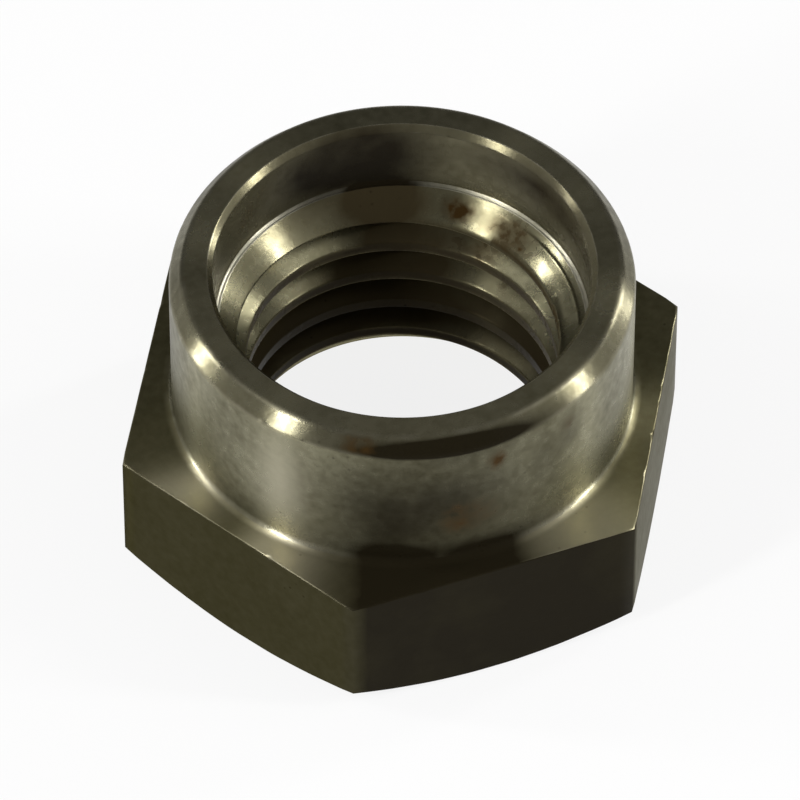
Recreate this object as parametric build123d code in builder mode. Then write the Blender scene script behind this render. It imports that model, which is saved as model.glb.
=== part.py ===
"""Hex weld nut: a heavy hexagon carrying a round weld collar, with a coarse thread through both.

One piece of bar steel, turned and threaded. Millimetres, +Z up, the collar on top.
The origin is the centre of the flat base, and two corners of the hexagon lie on the X axis.
"""
import os
from math import ceil, cos, radians, tan

from build123d import *
from build123d.topology import SkipClean

# Hexagon
across_flats = 50.8
hex_height = 15.1
base_face_diameter = 50.0          # flat ring left on the base by the turned corners
base_corner_slope = 28.0           # degrees between the turned corners and the base
top_corner_break = 0.35            # how far the upper corners are turned back
top_corner_slope = 30.0

# Collar
collar_diameter = 45.5
collar_height = 17.25              # above the hexagon
collar_chamfer_width = 1.3
collar_chamfer_height = 1.65
collar_foot_radius = 0.9

# Recess in the top of the collar
recess_diameter = 36.9
recess_depth = 7.95
recess_mouth_width = 0.55
recess_mouth_height = 0.7
recess_floor_break = 0.4           # corner left by the tool between wall and floor
lead_in_diameter = 36.0            # where the cone down to the thread starts
lead_in_angle = 45.0               # degrees from the axis

# Thread: right hand, 60 degree form
thread_diameter = 34.925
thread_pitch = 25.4 / 6
bore_diameter = 30.72              # across the crests
groove_overcut = 0.4               # how far the thread cut starts inside the bore
thread_flank_angle = 30.0          # each side, from square to the axis
thread_root_flat = thread_pitch / 8
thread_start_angle = 64.25         # where the crest named below stands, about the axis
thread_start_height = 5.37         # height of the middle of that crest
base_mouth_diameter = 39.2         # countersink at the base
base_mouth_angle = 45.0            # degrees from the axis

# Radii and heights that follow
total_height = hex_height + collar_height
corner_radius = across_flats / 2 / cos(radians(30))
bore_radius = bore_diameter / 2
recess_floor = total_height - recess_depth
lead_in_end = recess_floor - (lead_in_diameter / 2 - bore_radius) / tan(radians(lead_in_angle))
base_mouth_end = (base_mouth_diameter / 2 - bore_radius) / tan(radians(base_mouth_angle))

# The turned corners run past the bar's own corners
bar_radius = corner_radius + 1
base_corner_height = (bar_radius - base_face_diameter / 2) * tan(radians(base_corner_slope))
top_corner_drop = (bar_radius - corner_radius + top_corner_break) * tan(radians(top_corner_slope))

# The groove between the crests, cut turn by turn from below the base to above the recess floor
root_radius = thread_diameter / 2
groove_inner_radius = bore_radius - groove_overcut
root_half_width = thread_root_flat / 2
flank_spread = (root_radius - groove_inner_radius) * tan(radians(thread_flank_angle))
groove_half_width = root_half_width + flank_spread
crest_height_over_x = thread_start_height - thread_pitch * thread_start_angle / 360
groove_start = crest_height_over_x % thread_pitch - 1.5 * thread_pitch
groove_turns = ceil((recess_floor + thread_pitch / 2 - groove_start) / thread_pitch)

with BuildPart() as groove_turn:
    with BuildLine():
        one_turn = Helix(pitch=thread_pitch, height=thread_pitch, radius=root_radius)
    with BuildSketch(Plane.XZ):
        with BuildLine():
            Polyline(
                (root_radius, root_half_width),
                (root_radius, -root_half_width),
                (groove_inner_radius, -groove_half_width),
                (groove_inner_radius, groove_half_width),
                close=True,
            )
        make_face()
    sweep(path=one_turn, is_frenet=True)

with BuildPart() as hex_weld_nut:
    # Hexagon bar, long enough for the whole nut
    with BuildSketch():
        RegularPolygon(radius=across_flats / 2, side_count=6, major_radius=False)
    extrude(amount=total_height)

    # Outside turned on the lathe: corners, face and collar
    with BuildSketch(Plane.XZ):
        with BuildLine():
            Polyline(
                (0, 0),
                (base_face_diameter / 2, 0),
                (bar_radius, base_corner_height),
                (bar_radius, hex_height - top_corner_drop),
                (corner_radius - top_corner_break, hex_height),
                (collar_diameter / 2, hex_height),
                (collar_diameter / 2, total_height - collar_chamfer_height),
                (collar_diameter / 2 - collar_chamfer_width, total_height),
                (0, total_height),
                close=True,
            )
        turned = make_face()
        foot = turned.vertices().sort_by_distance((collar_diameter / 2, hex_height))[0]
        fillet(foot, collar_foot_radius)
    revolve(axis=Axis.Z, mode=Mode.INTERSECT)

    # The bore is cut in two half turns, and cuts from here on keep their faces apart, so that
    # no crest of the thread is one face all the way round
    with SkipClean():
        for half_turn in (180, -180):
            with BuildSketch(Plane.YZ):
                Rectangle(bore_radius, total_height, align=Align.MIN)
            revolve(axis=Axis.Z, revolution_arc=half_turn, mode=Mode.SUBTRACT)

        # The thread, one turn of groove above another
        with Locations([(0, 0, groove_start + turn * thread_pitch) for turn in range(groove_turns)]):
            add(groove_turn, mode=Mode.SUBTRACT)

        # Countersink at the base
        with BuildSketch(Plane.XZ):
            with BuildLine():
                Polyline(
                    (0, 0),
                    (base_mouth_diameter / 2, 0),
                    (bore_radius, base_mouth_end),
                    (0, base_mouth_end),
                    close=True,
                )
            make_face()
        revolve(axis=Axis.Z, mode=Mode.SUBTRACT)

        # Recess in the collar, with its broken rim, tooled foot and the cone down to the thread
        with BuildSketch(Plane.XZ):
            with BuildLine():
                Polyline(
                    (0, lead_in_end),
                    (bore_radius, lead_in_end),
                    (lead_in_diameter / 2, recess_floor),
                    (recess_diameter / 2 - recess_floor_break, recess_floor),
                    (recess_diameter / 2, recess_floor + recess_floor_break),
                    (recess_diameter / 2, total_height - recess_mouth_height),
                    (recess_diameter / 2 + recess_mouth_width, total_height),
                    (0, total_height),
                    close=True,
                )
            make_face()
        revolve(axis=Axis.Z, mode=Mode.SUBTRACT)

os.makedirs("parts", exist_ok=True)
hex_weld_nut.part.label = "hex_weld_nut"
export_step(hex_weld_nut.part, "parts/hex_weld_nut.step")
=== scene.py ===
"""The finished look of a heavy hex weld nut: turned and threaded bar steel, dark with oil.

Lengths are millimetres up to the mesh, which is in metres, in the frame's own axes.
"""
from math import cos, pi, radians, sin, sqrt, tan

import bpy
import numpy as np
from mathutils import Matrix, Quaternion, Vector


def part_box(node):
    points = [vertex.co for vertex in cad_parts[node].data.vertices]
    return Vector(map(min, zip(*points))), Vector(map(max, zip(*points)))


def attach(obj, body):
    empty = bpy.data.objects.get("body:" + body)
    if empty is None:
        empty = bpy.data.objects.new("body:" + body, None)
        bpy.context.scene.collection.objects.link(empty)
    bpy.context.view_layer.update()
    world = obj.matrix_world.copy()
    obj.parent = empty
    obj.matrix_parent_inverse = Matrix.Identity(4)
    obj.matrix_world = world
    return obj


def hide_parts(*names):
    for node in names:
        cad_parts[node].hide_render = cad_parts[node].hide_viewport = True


MM = 0.001

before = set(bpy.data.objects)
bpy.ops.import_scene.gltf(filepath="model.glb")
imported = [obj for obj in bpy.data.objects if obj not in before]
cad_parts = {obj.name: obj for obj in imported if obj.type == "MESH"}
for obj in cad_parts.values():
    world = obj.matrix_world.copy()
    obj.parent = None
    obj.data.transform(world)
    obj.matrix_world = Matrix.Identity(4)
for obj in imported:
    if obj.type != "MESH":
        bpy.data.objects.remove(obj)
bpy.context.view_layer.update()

# ---------------------------------------------------------------- sizes

nut_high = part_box("hex_weld_nut")[1]
flat_radius = nut_high[1] / MM          # axis to a flat of the hexagon
total_height = nut_high[2] / MM

hex_height = 15.1
base_face_radius = 25.0
base_corner_slope = radians(28)
hex_edge_radius = 0.45                  # the upright edges, rubbed round

collar_radius = 22.75
collar_chamfer = (1.3, 1.65)            # in from the wall, down from the top
collar_foot_radius = 0.9

recess_radius = 18.45
recess_floor = total_height - 7.95
recess_mouth = (0.55, 0.7)              # out from the wall, down from the top
recess_foot_reach = 0.4                 # from the corner, along the wall and along the floor
lead_in_radius = 18.0

thread_pitch = 25.4 / 6
crest_radius = 15.36
root_radius = 17.4625
crest_height_over_x = 5.37 - thread_pitch * 64.25 / 360
base_mouth_radius = 19.6

# Stretches of the section in order: from the countersink's edge round the outside and down into the bore
(base_face, low_corner, hex_side, hex_top, collar_wall, rim_chamfer, rim,
 mouth_bevel, recess_wall, recess_shelf, lead_in, bore) = range(12)

# Sizes of the finish's patterns
film_size = 9                           # apart, for the large patches of film
mottle_size = 1
pit_spacing = 1.3
mark_spacing = 0.3                      # apart, for the tool marks; real ones are finer, and wouldn't show
lay_radius = 20                         # circle on which the tool marks' pattern is looked up

# Colours and values that all the finishes share
rust_brown = "402F17"
pit_black = "1C170E"
pit_depth = 0.7                         # how far a pit hides the colour round it
film_dulls = 0.06                       # roughness added where the film is dark
film_smooths = 0.04                     # and taken away where it is light
coat_shine = 0.03                       # of old oil and rust: next to none

# Rows between two corners of the section
row_spacing = 2.2
edge_row = 0.12                         # from a rounded corner to the next row, so that the flat shades flat

# Half widths over which the bore's edges are rounded
crest_softness = 0.13
root_softness = 0.22
cone_softness = 0.07

# Rust, as bells() takes it: on the cone, the thread and the recess's wall, on the rim and on the collar
rust_places = [
    (50, 23.2, 6, 1.0, 1.2),
    (28, 23.0, 12, 1.4, 0.9),
    (42, 19.0, 14, 1.2, 0.7),
    (30, 15.5, 12, 1.5, 0.6),
    (125, 28.0, 8, 2.0, 0.6),
    (-122, 31.5, 6, 0.8, 1.0),
    (-96, 21.0, 7, 2.2, 0.8),
    (-87, 28.4, 3, 1.6, 1.0),
    (-66, 29.0, 3, 1.0, 1.1),
    (120, 29.0, 12, 3.0, 0.4),
    (-92, 20.8, 12, 3.5, 0.5),
]

# Old oil stains and painted shade, as bells() takes it: darkest over the foot, the chamfer and the rim on
# the side of the collar that faces the camera, where the steel would mirror the white floor, and thinner
# elsewhere
oil_and_shade_outside = [
    (-111, 15.8, 19, 4.0, 1.5),
    (-93, 15.6, 20, 2.7, 1.4),
    (-106, 15.2, 30, 1.2, 1.4),
    (-106, 22.0, 30, 10.0, 1.2),
    (-66, 27.0, 6, 3.0, 0.7),
    (-99, 31.2, 26, 0.9, 2.4),
    (-112, 32.4, 16, 0.5, 0.7),
    (-74, 25.0, 9, 6.0, 0.6),
    (172, 24.0, 10, 8.0, 0.35),
    (-157, 24.0, 6, 8.0, 0.3),
    (180, 15.1, 10, 0.8, 0.6),
]

# Painted shade inside, laid on in the oiled colour, as bells() takes it: on the recess's wall, on the cone,
# and on the thread, wider the deeper down where the walls hide the lamps
painted_shade_inside = [
    (86, 28.5, 32, 6.0, 1.6),
    (8, 29.5, 50, 3.5, 1.3),
    (76, 23.4, 18, 2.4, 2.0),
    (40, 23.2, 15, 1.6, 0.5),
    (69, 19.0, 19, 1.8, 2.0),
    (74, 15.0, 27, 1.8, 2.0),
    (69, 9.5, 100, 3.4, 2.5),
]

# Painted highlights on the hexagon's top and the collar's wall, laid on as steel rubbed bright, as bells()
# takes it
painted_highlight_places = [
    (-166, 15.1, 8, 1.0, 0.7),
    (-138, 15.1, 9, 1.0, 0.9),
    (-72, 15.1, 12, 1.0, 0.5),
    (-142, 23.0, 7, 7.0, 0.6),
]

most_shade_inside = 1.2                   # cap on the painted shade inside, so that each place has an even middle
crest_shade = 1.2                         # painted shade along the crests of the thread, which dims their reflection of the white floor
crest_half_width = 0.62
cone_start = 0.2                        # how far outside the crests the crest shade still lies
shaded_flat = radians(270)               # the side of the hexagon darkened all over with painted shade
# how strong that painted shade is
shaded_flat_depth = 1.15
crest_rubbing = 0.2                     # along both edges of each crest
crest_edge_at = 0.6
crest_edge_width = 0.1


# ---------------------------------------------------------------- numpy helpers

def soft_above(value, width):
    """The value where positive, 0 where negative, and a parabola of the given half width between."""
    blend = (value + width) ** 2 / (4 * width)
    return np.where(value > width, value, np.where(value < -width, 0.0, blend))


def soft_max(first, second, width):
    """The larger of two heights, with the edge between them rounded over the given half width."""
    return second + soft_above(first - second, width)


def wander(angle, seed, waves, lowest=1, highest=40):
    """Uneven line round the axis, about -1 to 1: a sum of sines of the angle, of whole numbers of waves."""
    chance = np.random.default_rng(seed)
    counts = chance.integers(lowest, highest, waves)
    phases = chance.uniform(0, 2 * pi, waves)
    heights = chance.uniform(0.4, 1.0, waves)
    curves = heights[:, None] * np.sin(counts[:, None] * angle + phases[:, None])
    return curves.sum(axis=0) / heights.sum() * sqrt(waves) * 0.6


def nicks(angle, seed, count, width):
    """Small knocks along an edge: a sum of bell curves at random angles, each 0 to 1 high."""
    chance = np.random.default_rng(seed)
    centres = chance.uniform(0, 2 * pi, count)
    heights = chance.uniform(0.2, 1.0, count)
    widths = width * chance.uniform(0.5, 1.6, count)
    apart = (angle - centres[:, None] + pi) % (2 * pi) - pi
    return (heights[:, None] * np.exp(-((apart / widths[:, None]) ** 2))).sum(axis=0)


# ---------------------------------------------------------------- the nut's surface

def column_angles(per_side=56, crowding=0.2):
    """Angles of the grid's columns, crowded at the hexagon's corners.

    On each side of a corner the angle is 30 degrees times (1 - c) u cubed + c u, for u from -1 to 1.
    """
    u = np.linspace(-1, 1, per_side, endpoint=False)
    step = radians(30) * ((1 - crowding) * u**3 + crowding * u)
    corners = np.arange(6) * radians(60)
    return (corners[:, None] + step[None, :]).ravel() + radians(30)


def hexagon_radius(angle, edge_radius):
    """Distance from the axis to a hexagon with rounded upright edges.

    A flat is the line r = flat radius / cos(angle from the flat's middle); near a corner it is the circle
    of edge_radius that touches both flats.
    """
    from_corner = (angle + radians(30)) % radians(60) - radians(30)
    flat = flat_radius / np.cos(radians(30) - np.abs(from_corner))
    centre = (flat_radius - edge_radius) / cos(radians(30))
    touch = np.arctan2(edge_radius * 0.5, centre + edge_radius * cos(radians(30)))
    inside = np.maximum(edge_radius**2 - (centre * np.sin(from_corner)) ** 2, 0)
    edge = centre * np.cos(from_corner) + np.sqrt(inside)
    return np.where(np.abs(from_corner) < touch, edge, flat)


def rounded(before, corner, after, reach, steps):
    """Rows round a corner of the section: a conic from reach before the corner to reach after it.

    The conic's middle weight is the sine of half the corner's inner angle, which makes it a circle's arc.
    """
    back = before - corner
    back /= np.linalg.norm(back, axis=-1, keepdims=True)
    on = after - corner
    on /= np.linalg.norm(on, axis=-1, keepdims=True)
    reach = np.broadcast_to(reach, corner.shape[:1])[:, None]
    first, last = corner + back * reach, corner + on * reach
    weight = np.sqrt((1 - (back * on).sum(axis=-1, keepdims=True)) / 2)
    t = np.linspace(0, 1, steps + 1)[:, None, None]
    near, middle, far = (1 - t) ** 2, 2 * t * (1 - t) * weight, t**2
    return (near * first + middle * corner + far * last) / (near + middle + far)


def outer_rows(angle):
    """Section rows from the countersink's edge round the outside and down the recess, as (radius, height).

    Each corner of the section has its own place at every angle, and the rows between two corners lie on the
    straight line that joins them. The wear on a row is its corner's rubbing, times the sine of the way
    round the corner, and it comes and goes round the axis; at the collar's foot this rubbing is a painted
    highlight. Each row's stretch of the section comes too.
    """
    def place(radius, height):
        return np.stack(np.broadcast_arrays(radius + 0 * angle, height + 0 * angle), axis=-1)

    corner_wear = np.exp(-((((angle + radians(30)) % radians(60) - radians(30)) / radians(1.3)) ** 2))
    side = hexagon_radius(angle, hex_edge_radius)
    low_edge = (side - base_face_radius) * tan(base_corner_slope)
    hex_wear = 0.14 + 0.04 * wander(angle, 3, 9) + 0.14 * corner_wear + 0.3 * nicks(angle, 4, 22, 0.008)
    low_wear = 0.15 + 0.05 * wander(angle, 5, 9) + 0.2 * nicks(angle, 6, 16, 0.008)
    rim_wear = 0.34 + 0.03 * wander(angle, 7, 8) + 0.22 * nicks(angle, 8, 18, 0.012)
    collar_wall_top = total_height - collar_chamfer[1]
    # Each corner's place, how far it is rounded, its rows and its rubbing
    corners = [
        (place(base_mouth_radius, 0), 0.12, 3, 0.3),
        (place(base_face_radius, 0), 0.12, 3, 0.4),
        (place(side, low_edge), np.maximum(low_wear, 0.06), 4, 0.3),
        (place(side, hex_height), np.clip(hex_wear, 0.08, 0.5), 6, 0.5),
        # The collar's foot: its rubbing is a painted highlight along the fillet
        (place(collar_radius, hex_height), collar_foot_radius, 8, 0.15),
        (place(collar_radius, collar_wall_top), np.maximum(rim_wear, 0.06), 5, 0.2),
        (place(collar_radius - collar_chamfer[0], total_height), 0.42, 5, 0.2),
        (place(recess_radius + recess_mouth[0], total_height), 0.1, 4, 0.5),
        (place(recess_radius, total_height - recess_mouth[1]), 0.12, 4, 0.4),
        (place(recess_radius, recess_floor), recess_foot_reach, 3, 0.0),
        (place(lead_in_radius, recess_floor), 0.06, 4, 0.4),
        (place(lead_in_radius - 1, recess_floor - 1), 0, 0, 0.0),
    ]
    before = place(base_mouth_radius - 1, 1)
    rows, stretches, wear_and_sheen = [], [], []
    for number in range(len(corners) - 1):
        corner, reach, steps, rubbing = corners[number]
        after = corners[number + 1][0]
        arc = rounded(before, corner, after, reach, steps)
        if rows:
            start, end = rows[-1][-1], arc[0]
            length = np.linalg.norm(end - start, axis=-1).mean()
            edge = min(edge_row / length, 0.2)
            spread = np.linspace(0, 1, 2 + int(length / row_spacing))[1:-1]
            spread = spread[(spread > 1.5 * edge) & (spread < 1 - 1.5 * edge)]
            parts = np.concatenate([[edge], spread, [1 - edge]])
            rows.append(start + (end - start) * parts[:, None, None])
            stretches += [number - 1] * len(parts)
            wear_and_sheen.append(np.zeros((len(parts), len(angle))))
        rows.append(arc)
        stretches += [number - 1] * (steps // 2) + [number] * (steps + 1 - steps // 2)
        uneven = np.clip(0.5 + 0.5 * wander(angle, 20 + number, 12, 2, 60), 0, 1)
        wear_and_sheen.append(rubbing * np.sin(np.linspace(0, pi, steps + 1))[:, None] * uneven)
        before = corner
    return np.concatenate(rows), np.maximum(stretches, base_face), np.concatenate(wear_and_sheen)


def bore_radius_at(height, from_crest):
    """Radius of the bore's wall: the widest of the thread, the countersink and the lead-in cone.

    The thread's groove is a straight flank at 30 degrees between crest and root, softened at both.
    """
    depth = root_radius - crest_radius
    root_half = thread_pitch / 16
    crest_half = thread_pitch / 2 - root_half - depth * tan(radians(30))
    flank = soft_above((np.abs(from_crest) - crest_half) / tan(radians(30)), crest_softness)
    thread = crest_radius + depth - soft_above(depth - flank, root_softness)
    cones = np.maximum(lead_in_radius - (recess_floor - height), base_mouth_radius - height)
    return soft_max(thread, cones, cone_softness)


def bore_rows():
    """Rows down the bore that follow the thread's helix, as offsets from it, with the phase within a pitch.

    A row's height is its offset plus the pitch times the turns made, so a row that ends at a full turn goes
    on as the row one pitch above it.
    """
    # From a crest's middle towards the next groove's, crowded where the section bends
    half = np.array([0, 0.45, 0.56, 0.62, 0.68, 0.78, 1.15, 1.6, 1.75, 1.85, 1.97])
    pitch_rows = np.concatenate([half, [thread_pitch / 2], -half[:0:-1]])
    turns = np.arange(-2, 8)
    offsets = crest_height_over_x + (turns[:, None] * thread_pitch + pitch_rows[None, :]).ravel()
    phases = np.tile(pitch_rows, len(turns))
    order = np.argsort(-offsets)
    offsets, phases = offsets[order], phases[order]
    first = np.searchsorted(-offsets, -recess_floor) - 1
    last = np.searchsorted(-offsets, thread_pitch)
    return offsets[first:last + 1], phases[first:last + 1], len(pitch_rows)


def bells(angle, height, places):
    """Soft spots: the largest of bell curves, each of the turn and the height from its own middle.

    A place is (angle in degrees, height, half its width in degrees, half its height, strength).
    """
    spots = np.zeros(np.broadcast_shapes(angle.shape, height.shape))
    for middle, level, half_turn, half_height, strength in places:
        turn = (angle - radians(middle) + pi) % (2 * pi) - pi
        away = (turn / radians(half_turn)) ** 2 + ((height - level) / half_height) ** 2
        spots = np.maximum(spots, strength * np.exp(-away))
    return spots


def join_rows(outer, height, per_pitch):
    """Triangles between neighbouring rows and columns, and for each the number of the row it starts from.

    Rows of the bore above the recess floor or below the base are drawn together into the edge there, and
    the triangles that this flattens are left out. Past the last column, a row of the bore goes on as the
    row one pitch above it.
    """
    outer_count, columns = outer.shape[:2]
    index = np.arange((outer_count + len(height)) * columns).reshape(-1, columns)
    inner = index[outer_count:]
    inner[:] = np.where(height >= outer[-1][:, 1], index[outer_count - 1], inner)
    inner[:] = np.where(height <= outer[0][:, 1], index[0], inner)
    pitch_above = np.concatenate([np.repeat(index[outer_count - 1, :1], per_pitch), inner[:, 0]])
    next_column = np.roll(index, -1, axis=1)
    next_column[outer_count:, -1] = pitch_above[:len(inner)]

    a, b = index[:-1], next_column[:-1]
    c, d = next_column[1:], index[1:]
    halves = [np.stack([a, b, c], -1), np.stack([a, c, d], -1)]
    triangles = np.concatenate([half.reshape(-1, 3) for half in halves])
    row = np.tile(np.repeat(np.arange(len(index) - 1), columns), 2)
    whole = (triangles != np.roll(triangles, 1, axis=1)).all(axis=1)
    return triangles[whole], row[whole]


def tool_lay(angle, outer, offsets):
    """Where the tool marks' pattern is looked up: round a circle, and up by the way along the section."""
    steps = np.linalg.norm(np.diff(outer.mean(axis=1), axis=0), axis=-1)
    along = np.concatenate([[0], np.cumsum(steps)])
    along = np.concatenate([along, along[-1] + offsets[0] - offsets])
    across, back = np.cos(angle) * lay_radius, np.sin(angle) * lay_radius
    return np.stack(np.broadcast_arrays(across, back, along[:, None]), -1)


def oil_and_shade_on(angle, section, stretch, phases):
    """How thick the dark oil and the painted shade are: 0 where there is none, and 1 or more where they hide
    the steel.

    It is the oil and painted shade places listed above, painted shade over one side of the hexagon, and
    painted shade along each crest of the thread: e to the power of minus the sixth power of the distance
    from its middle, in half widths.
    """
    height = section[..., 1]
    inside = np.minimum(bells(angle, height, painted_shade_inside), most_shade_inside)
    oil_and_shade = np.where((stretch >= mouth_bevel)[:, None], inside, bells(angle, height, oil_and_shade_outside))
    on_flat = np.abs(angle - shaded_flat) < radians(30)
    oil_and_shade = np.where((stretch <= hex_side)[:, None], shaded_flat_depth * on_flat, oil_and_shade)
    in_bore = stretch == bore
    near_crest = crest_shade * np.exp(-((phases[:, None] / crest_half_width) ** 6))
    near_crest = near_crest * (section[in_bore][..., 0] < crest_radius + cone_start)
    oil_and_shade[in_bore] = np.maximum(oil_and_shade[in_bore], near_crest)
    return oil_and_shade


def nut_surface():
    """One closed surface: rows of the section against angles round the axis, joined into triangles.

    Returns its points, its triangles, the stretch of the section that each triangle is on, and the finish's
    values at the points.
    """
    angle = column_angles()
    outer, outer_stretch, outer_wear = outer_rows(angle)
    offsets, phases, per_pitch = bore_rows()
    turns = (angle - angle[0]) / (2 * pi)
    start_height = thread_pitch * angle[0] / (2 * pi)
    height = offsets[:, None] + start_height + thread_pitch * turns
    inner_radius = bore_radius_at(height, phases[:, None])
    lowest = outer[0][:, 1].mean()
    inner = np.stack([inner_radius, np.clip(height, lowest, recess_floor)], axis=-1)
    section = np.concatenate([outer, inner])
    stretch = np.concatenate([outer_stretch, np.full(len(offsets), bore)])
    triangles, row = join_rows(outer, height, per_pitch)

    crest_edge = np.exp(-(((np.abs(phases) - crest_edge_at) / crest_edge_width) ** 2))
    uneven = np.clip(0.5 + 0.5 * wander(angle, 40, 12, 2, 60), 0, 1)
    inner_wear = crest_rubbing * crest_edge[:, None] * uneven
    wear_and_sheen = np.concatenate([outer_wear, inner_wear])
    highlight_stretches = np.isin(stretch, (hex_top, collar_wall))[:, None]
    wear_and_sheen += highlight_stretches * bells(angle, section[..., 1], painted_highlight_places)

    x = section[..., 0] * np.cos(angle)
    y = section[..., 0] * np.sin(angle)
    points = np.stack([x, y, section[..., 1]], -1).reshape(-1, 3)
    used, renumbered = np.unique(triangles, return_inverse=True)
    finish = {
        "wear_and_sheen": wear_and_sheen.ravel()[used],
        "rust": bells(angle, section[..., 1], rust_places).ravel()[used],
        "oil_and_shade": oil_and_shade_on(angle, section, stretch, phases).ravel()[used],
        "lay": tool_lay(angle, outer, offsets).reshape(-1, 3)[used],
    }
    return points[used], renumbered.reshape(-1, 3), stretch[row], finish


def make_nut(finishes):
    """Puts the surface into a mesh, with the finish's values as attributes.

    Each of the finishes is a material and the stretches of the section that have it.
    """
    points, triangles, stretch, finish = nut_surface()
    mesh = bpy.data.meshes.new("nut_surface")
    mesh.from_pydata(points * MM, (), triangles)
    mesh.attributes.new("lay", "FLOAT_VECTOR", "POINT").data.foreach_set("vector", finish["lay"].ravel())
    for name in ("wear_and_sheen", "rust", "oil_and_shade"):
        mesh.attributes.new(name, "FLOAT", "POINT").data.foreach_set("value", finish[name])
    slots = np.zeros(bore + 1, int)
    for number, (material, stretches) in enumerate(finishes):
        mesh.materials.append(material)
        slots[stretches] = number
    mesh.polygons.foreach_set("material_index", slots[stretch])
    mesh.polygons.foreach_set("use_smooth", np.ones(len(triangles), bool))
    mesh.update()
    piece = bpy.data.objects.new("nut_surface", mesh)
    bpy.context.scene.collection.objects.link(piece)
    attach(piece, "root")
    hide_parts("hex_weld_nut")
    return piece


# ---------------------------------------------------------------- materials

def srgb(code):
    """A colour written as six hex digits, turned to linear light, with full opacity."""
    parts = [int(code[i:i + 2], 16) / 255 for i in (0, 2, 4)]
    return (*[p / 12.92 if p <= 0.04045 else ((p + 0.055) / 1.055) ** 2.4 for p in parts], 1.0)


def node(tree, kind, inputs=None, **settings):
    """Adds a node with its settings; inputs gives each socket a value or the output that feeds it."""
    made = tree.nodes.new(kind)
    for name, value in settings.items():
        setattr(made, name, value)
    for socket, value in (inputs or {}).items():
        if isinstance(value, bpy.types.NodeSocket):
            tree.links.new(value, made.inputs[socket])
        else:
            made.inputs[socket].default_value = value
    return made


def per(size):
    """Scale of a pattern in Object coordinates whose spots are about size millimetres apart."""
    return 1 / (size * MM)


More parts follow.
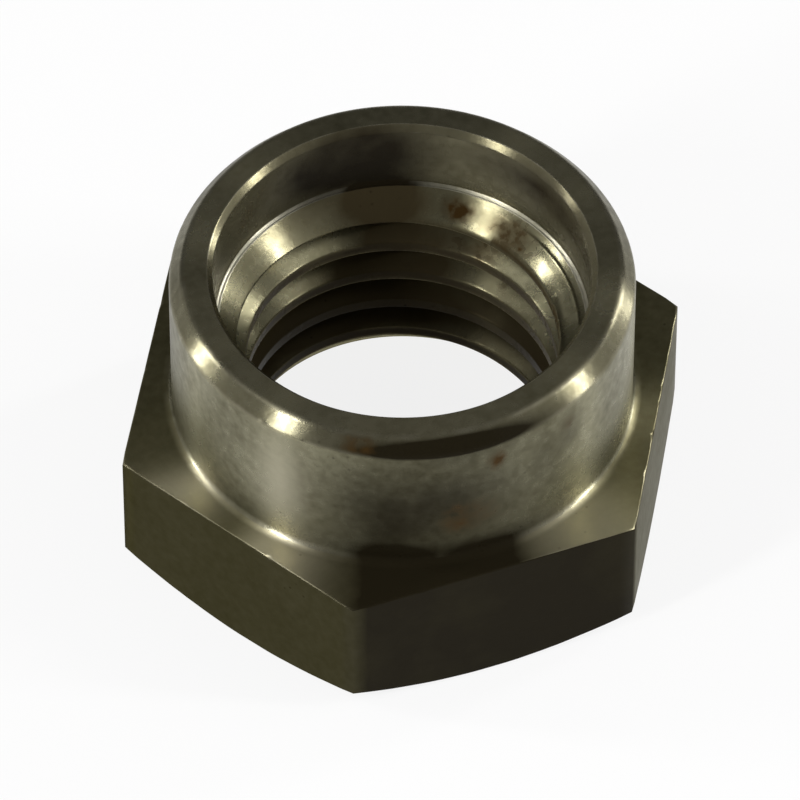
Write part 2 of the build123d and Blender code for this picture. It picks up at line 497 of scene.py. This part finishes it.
def steel(name, light, dark, worn_and_sheen_colour, oil_and_shade_colour, rough, turned_across, edge_on, tooled):
    """Bar steel with the marks of its tool, under a thin uneven film, with old oil, rust and small pits.

    The film goes between the light and the dark colour, in large patches with a fine mottle over them, and
    it is smoother where it is light. Where the wear attribute says, the steel turns to the worn colour:
    rubbed edges, and painted highlights where it is laid on for them. Old oil and rust are dull coats that
    hide the metal, and the oil attribute also lays painted shade on in the oiled colour the same way, so
    under them the surface counts as no metal and hardly shines. The marks run round the axis. They draw a
    lamp's reflection out across themselves, as far as turned_across says, and tooled is how deep they are.
    edge_on tints what is seen at a grazing angle.
    """
    material = bpy.data.materials.new(name)
    material.use_nodes = True
    tree = material.node_tree
    shader = tree.nodes["Principled BSDF"]
    place = node(tree, "ShaderNodeTexCoord").outputs["Object"]
    lay = node(tree, "ShaderNodeAttribute", attribute_name="lay").outputs["Vector"]
    wear_and_sheen = node(tree, "ShaderNodeAttribute", attribute_name="wear_and_sheen").outputs["Fac"]
    rust = node(tree, "ShaderNodeAttribute", attribute_name="rust").outputs["Fac"]
    oil_and_shade = node(tree, "ShaderNodeAttribute", attribute_name="oil_and_shade").outputs["Fac"]

    # Map Range's sockets 1 to 4 are from min, from max, to min and to max. Mix's 6 and 7 are its colours.
    fine = (1 / lay_radius, 1 / lay_radius, 1 / mark_spacing)
    round_lay = node(tree, "ShaderNodeMapping", {"Vector": lay, "Scale": fine}).outputs[0]
    marks = node(tree, "ShaderNodeTexNoise", {"Vector": round_lay, "Scale": 1.0, "Detail": 2.0}).outputs[0]
    patches = {"Vector": place, "Scale": per(film_size), "Detail": 4.0}
    film = node(tree, "ShaderNodeTexNoise", patches).outputs[0]
    specks = {"Vector": place, "Scale": per(mottle_size), "Detail": 4.0}
    mottle = node(tree, "ShaderNodeTexNoise", specks).outputs[0]
    blend = node(tree, "ShaderNodeMath", {0: film, 1: mottle}, operation="ADD").outputs[0]
    blend = node(tree, "ShaderNodeMapRange", {0: blend, 1: 0.6, 2: 1.4}).outputs[0]
    colour = node(tree, "ShaderNodeMix", {"Factor": blend, 6: srgb(dark), 7: srgb(light)}, data_type="RGBA")
    colour = node(tree, "ShaderNodeMix", {"Factor": wear_and_sheen, 6: colour.outputs[2], 7: srgb(worn_and_sheen_colour)},
                  data_type="RGBA")
    oil_and_shade_cover = node(tree, "ShaderNodeMapRange", {0: film, 3: 0.5, 4: 1.2}).outputs[0]
    oil_and_shade_cover = node(tree, "ShaderNodeMath", {0: oil_and_shade_cover, 1: oil_and_shade}, operation="MULTIPLY", use_clamp=True).outputs[0]
    colour = node(tree, "ShaderNodeMix", {"Factor": oil_and_shade_cover, 6: colour.outputs[2], 7: srgb(oil_and_shade_colour)},
                  data_type="RGBA")
    rusty = node(tree, "ShaderNodeMath", {0: mottle, 1: rust}, operation="MULTIPLY").outputs[0]
    rusty = node(tree, "ShaderNodeMapRange", {0: rusty, 1: 0.15, 2: 0.5}).outputs[0]
    colour = node(tree, "ShaderNodeMix", {"Factor": rusty, 6: colour.outputs[2], 7: srgb(rust_brown)},
                  data_type="RGBA")
    bare = node(tree, "ShaderNodeMath", {0: oil_and_shade_cover, 1: rusty}, operation="MAXIMUM").outputs[0]
    bare = node(tree, "ShaderNodeMath", {0: 1.0, 1: bare}, operation="SUBTRACT").outputs[0]
    tree.links.new(bare, shader.inputs["Metallic"])
    spread = {0: blend, 3: rough + film_dulls, 4: rough - film_smooths}
    gloss = node(tree, "ShaderNodeMapRange", spread).outputs[0]
    tree.links.new(gloss, shader.inputs["Roughness"])
    cells = {"Vector": place, "Scale": per(pit_spacing)}
    pits = node(tree, "ShaderNodeTexVoronoi", cells).outputs["Distance"]
    pits = node(tree, "ShaderNodeMapRange", {0: pits, 1: 0.15, 2: 0.05}).outputs[0]
    pitted = node(tree, "ShaderNodeMapRange", {0: film, 1: 0.52, 2: 0.66}).outputs[0]
    pits = node(tree, "ShaderNodeMath", {0: pits, 1: pitted}, operation="MULTIPLY").outputs[0]
    pits = node(tree, "ShaderNodeMath", {0: pits, 1: pit_depth}, operation="MULTIPLY").outputs[0]
    colour = node(tree, "ShaderNodeMix", {"Factor": pits, 6: colour.outputs[2], 7: srgb(pit_black)},
                  data_type="RGBA")
    bump = node(tree, "ShaderNodeBump", {"Height": marks, "Strength": tooled, "Distance": 0.0001})
    bump = node(tree, "ShaderNodeBump", {"Height": mottle, "Normal": bump.outputs[0], "Strength": 0.06,
                                         "Distance": 0.0002})
    tree.links.new(colour.outputs[2], shader.inputs["Base Color"])
    tree.links.new(bump.outputs[0], shader.inputs["Normal"])
    round_axis = node(tree, "ShaderNodeTangent", direction_type="RADIAL", axis="Z")
    tree.links.new(round_axis.outputs[0], shader.inputs["Tangent"])
    shader.inputs["Anisotropic"].default_value = turned_across
    shader.inputs["Anisotropic Rotation"].default_value = 0.25
    shader.inputs["Specular Tint"].default_value = srgb(edge_on)
    shader.inputs["Specular IOR Level"].default_value = coat_shine
    return material


# ---------------------------------------------------------------- the setting

camera_azimuth = radians(-20.77)
camera_elevation = radians(49.52)
camera_roll = radians(0.136)
camera_distance = 0.9325
camera_target_side = -0.0002
camera_target_height = 0.01267
camera_lens = 424.8
floor_reach = 1.5                       # metres from the nut to the floor's edges, as are all lengths here
floor_whiteness = 0.85                  # share of the floor's look that is plain white


def toward(azimuth, elevation):
    """Unit vector from the nut towards a place, azimuth counted from the camera to its right."""
    turn = camera_azimuth + azimuth
    return Vector((sin(turn) * cos(elevation), -cos(turn) * cos(elevation), sin(elevation)))


def make_camera():
    """A long lens that looks down at the nut from the camera's azimuth and elevation."""
    data = bpy.data.cameras.new("camera")
    data.lens = camera_lens
    data.sensor_width = 36
    data.clip_end = 20
    camera = bpy.data.objects.new("camera", data)
    back = toward(0, camera_elevation)
    side = Vector((cos(camera_azimuth), sin(camera_azimuth), 0))
    target = side * camera_target_side + Vector((0, 0, camera_target_height))
    camera.location = target + back * camera_distance
    camera.rotation_mode = "QUATERNION"
    camera.rotation_quaternion = back.to_track_quat("Z", "Y") @ Quaternion((0, 0, 1), camera_roll)
    bpy.context.scene.collection.objects.link(camera)
    bpy.context.scene.camera = camera


def make_lamp(name, azimuth, elevation, spread, brightness, distance):
    """A flat lamp that faces the nut from the azimuth and elevation, at a distance in metres.

    spread is its width and height in degrees as the nut sees it, and brightness is its radiance.
    """
    width, height = (2 * distance * tan(radians(angle / 2)) for angle in spread)
    data = bpy.data.lights.new(name, "AREA")
    data.shape = "RECTANGLE"
    data.size = width
    data.size_y = height
    data.energy = brightness * pi * width * height
    lamp = bpy.data.objects.new(name, data)
    direction = toward(radians(azimuth), radians(elevation))
    lamp.location = direction * distance + Vector((0, 0, 0.02))
    lamp.rotation_mode = "QUATERNION"
    lamp.rotation_quaternion = direction.to_track_quat("Z", "Y")
    bpy.context.scene.collection.objects.link(lamp)


def make_floor():
    """White paper: mostly plain white to the eye and in gloss, with part of the nut's shadow kept."""
    material = bpy.data.materials.new("white_paper")
    material.use_nodes = True
    tree = material.node_tree
    shader = tree.nodes["Principled BSDF"]
    shader.inputs["Base Color"].default_value = srgb("FAFAFA")
    shader.inputs["Roughness"].default_value = 0.9
    shader.inputs["Specular IOR Level"].default_value = 0.1
    rays = node(tree, "ShaderNodeLightPath").outputs
    seen = node(tree, "ShaderNodeMath", {0: rays["Is Camera Ray"], 1: rays["Is Glossy Ray"]},
                operation="MAXIMUM")
    seen = node(tree, "ShaderNodeMath", {0: seen.outputs[0], 1: rays["Is Transmission Ray"]},
                operation="MAXIMUM")
    share = node(tree, "ShaderNodeMath", {0: seen.outputs[0], 1: floor_whiteness}, operation="MULTIPLY")
    white = node(tree, "ShaderNodeEmission", {"Color": (1, 1, 1, 1), "Strength": 1.0})
    looks = {0: share.outputs[0], 1: shader.outputs[0], 2: white.outputs[0]}
    mixed = node(tree, "ShaderNodeMixShader", looks)
    tree.links.new(mixed.outputs[0], tree.nodes["Material Output"].inputs["Surface"])
    mesh = bpy.data.meshes.new("floor")
    corners = [(-floor_reach, -floor_reach, 0), (floor_reach, -floor_reach, 0),
               (floor_reach, floor_reach, 0), (-floor_reach, floor_reach, 0)]
    mesh.from_pydata(corners, [], [(0, 1, 2, 3)])
    mesh.materials.append(material)
    floor = bpy.data.objects.new("floor", mesh)
    bpy.context.scene.collection.objects.link(floor)


def make_world(strength):
    """An even white room, dim enough that the lamps do the shading."""
    world = bpy.data.worlds.new("soft_room")
    world.use_nodes = True
    background = world.node_tree.nodes["Background"]
    background.inputs["Color"].default_value = (1, 1, 1, 1)
    background.inputs["Strength"].default_value = strength
    bpy.context.scene.world = world


# Each has its name, its light, dark, worn and oiled colours, its roughness, how far it draws reflections
# out, its edge-on tint and the depth of its tool marks. The worn colour also paints highlights, and the
# oiled colour also paints shade.

# The collar's wall, turned on the lathe: fine rings draw every lamp out into a tall soft streak
turned = steel("turned_oily_steel", "918E75", "5B5741", "B1AC97", "1F1B11", 0.28, 0.93, "FFFFFF", 0.1)
# Cold-drawn hexagon bar with its black skin left on: nearly black, even, and no streaks; one side darker
# still with painted shade
drawn = steel("drawn_black_hexagon_steel", "444133", "393627", "6A6550", "1F1B11", 0.34, 0.0, "C4C2B4", 0.02)
# The thread with its cone and countersink, cut and still oily: bright flanks above, brown and dark below,
# the dark deep down and at the back being painted shade in the oiled colour
threaded = steel("cut_thread_oily_steel", "949075", "767259", "7A6D50", "443C2A", 0.26, 0.75, "B4A88E", 0.1)
# The hexagon's top, faced on the lathe: the widest and dullest streaks, like a brushed plate
faced = steel("faced_dark_steel", "787357", "615D42", "C3BC9F", "1F1B11", 0.38, 0.95, "FFFFFF", 0.1)
# The recess's wall, bored smooth: dark, partly from painted shade in the oiled colour at the back, with a
# sharp bright line where a lamp reaches in
bored = steel("bored_oily_steel", "908B71", "716C53", "B1AC97", "272218", 0.25, 0.75, "FFFFFF", 0.1)
# The rim and its chamfer, turned finer than the wall: crisp bright spots where the streaks cross them
chamfered = steel("turned_rim_steel", "827E68", "64604B", "BAB5A4", "1F1B11", 0.27, 0.93, "FFFFFF", 0.1)
# The recess's shelf and the cone's edge, bored bare and made paler still as a painted highlight: the palest
# metal, a thin bright band
coned = steel("bored_cone_steel_with_painted_highlight", "D0CCB9", "A5A18A", "BAB5A4", "221D13", 0.33, 0.7, "FFFFFF", 0.1)
make_nut([
    (turned, [collar_wall]),
    (drawn, [base_face, low_corner, hex_side]),
    (threaded, [bore]),
    (faced, [hex_top]),
    (bored, [mouth_bevel, recess_wall]),
    (chamfered, [rim_chamfer, rim]),
    (coned, [recess_shelf, lead_in]),
])
make_floor()
make_world(0.12)
make_camera()

# Tall narrow lamps round the nut for the bright streaks, high ones for the cone and the thread, and wide
# dim panels behind them, the dimmest one at the back
make_lamp("strip_left", -97, 16, (6, 36), 21, 0.6)
make_lamp("strip_front_left", -52, 25, (6, 36), 30, 0.6)
make_lamp("strip_right", 82, 18, (6, 38), 24, 0.6)
make_lamp("strip_back_right", 120, 18, (7, 36), 13.5, 0.6)
make_lamp("high_left", -80, 54, (26, 22), 1.0, 0.7)
make_lamp("high_right", 84, 54, (26, 22), 1.2, 0.7)
make_lamp("panel_left", -95, 20, (60, 30), 0.45, 0.8)
make_lamp("panel_right", 84, 24, (80, 34), 0.75, 0.8)
make_lamp("panel_back", 180, 50, (70, 40), 0.09, 0.8)

bpy.context.scene.view_settings.view_transform = "Standard"
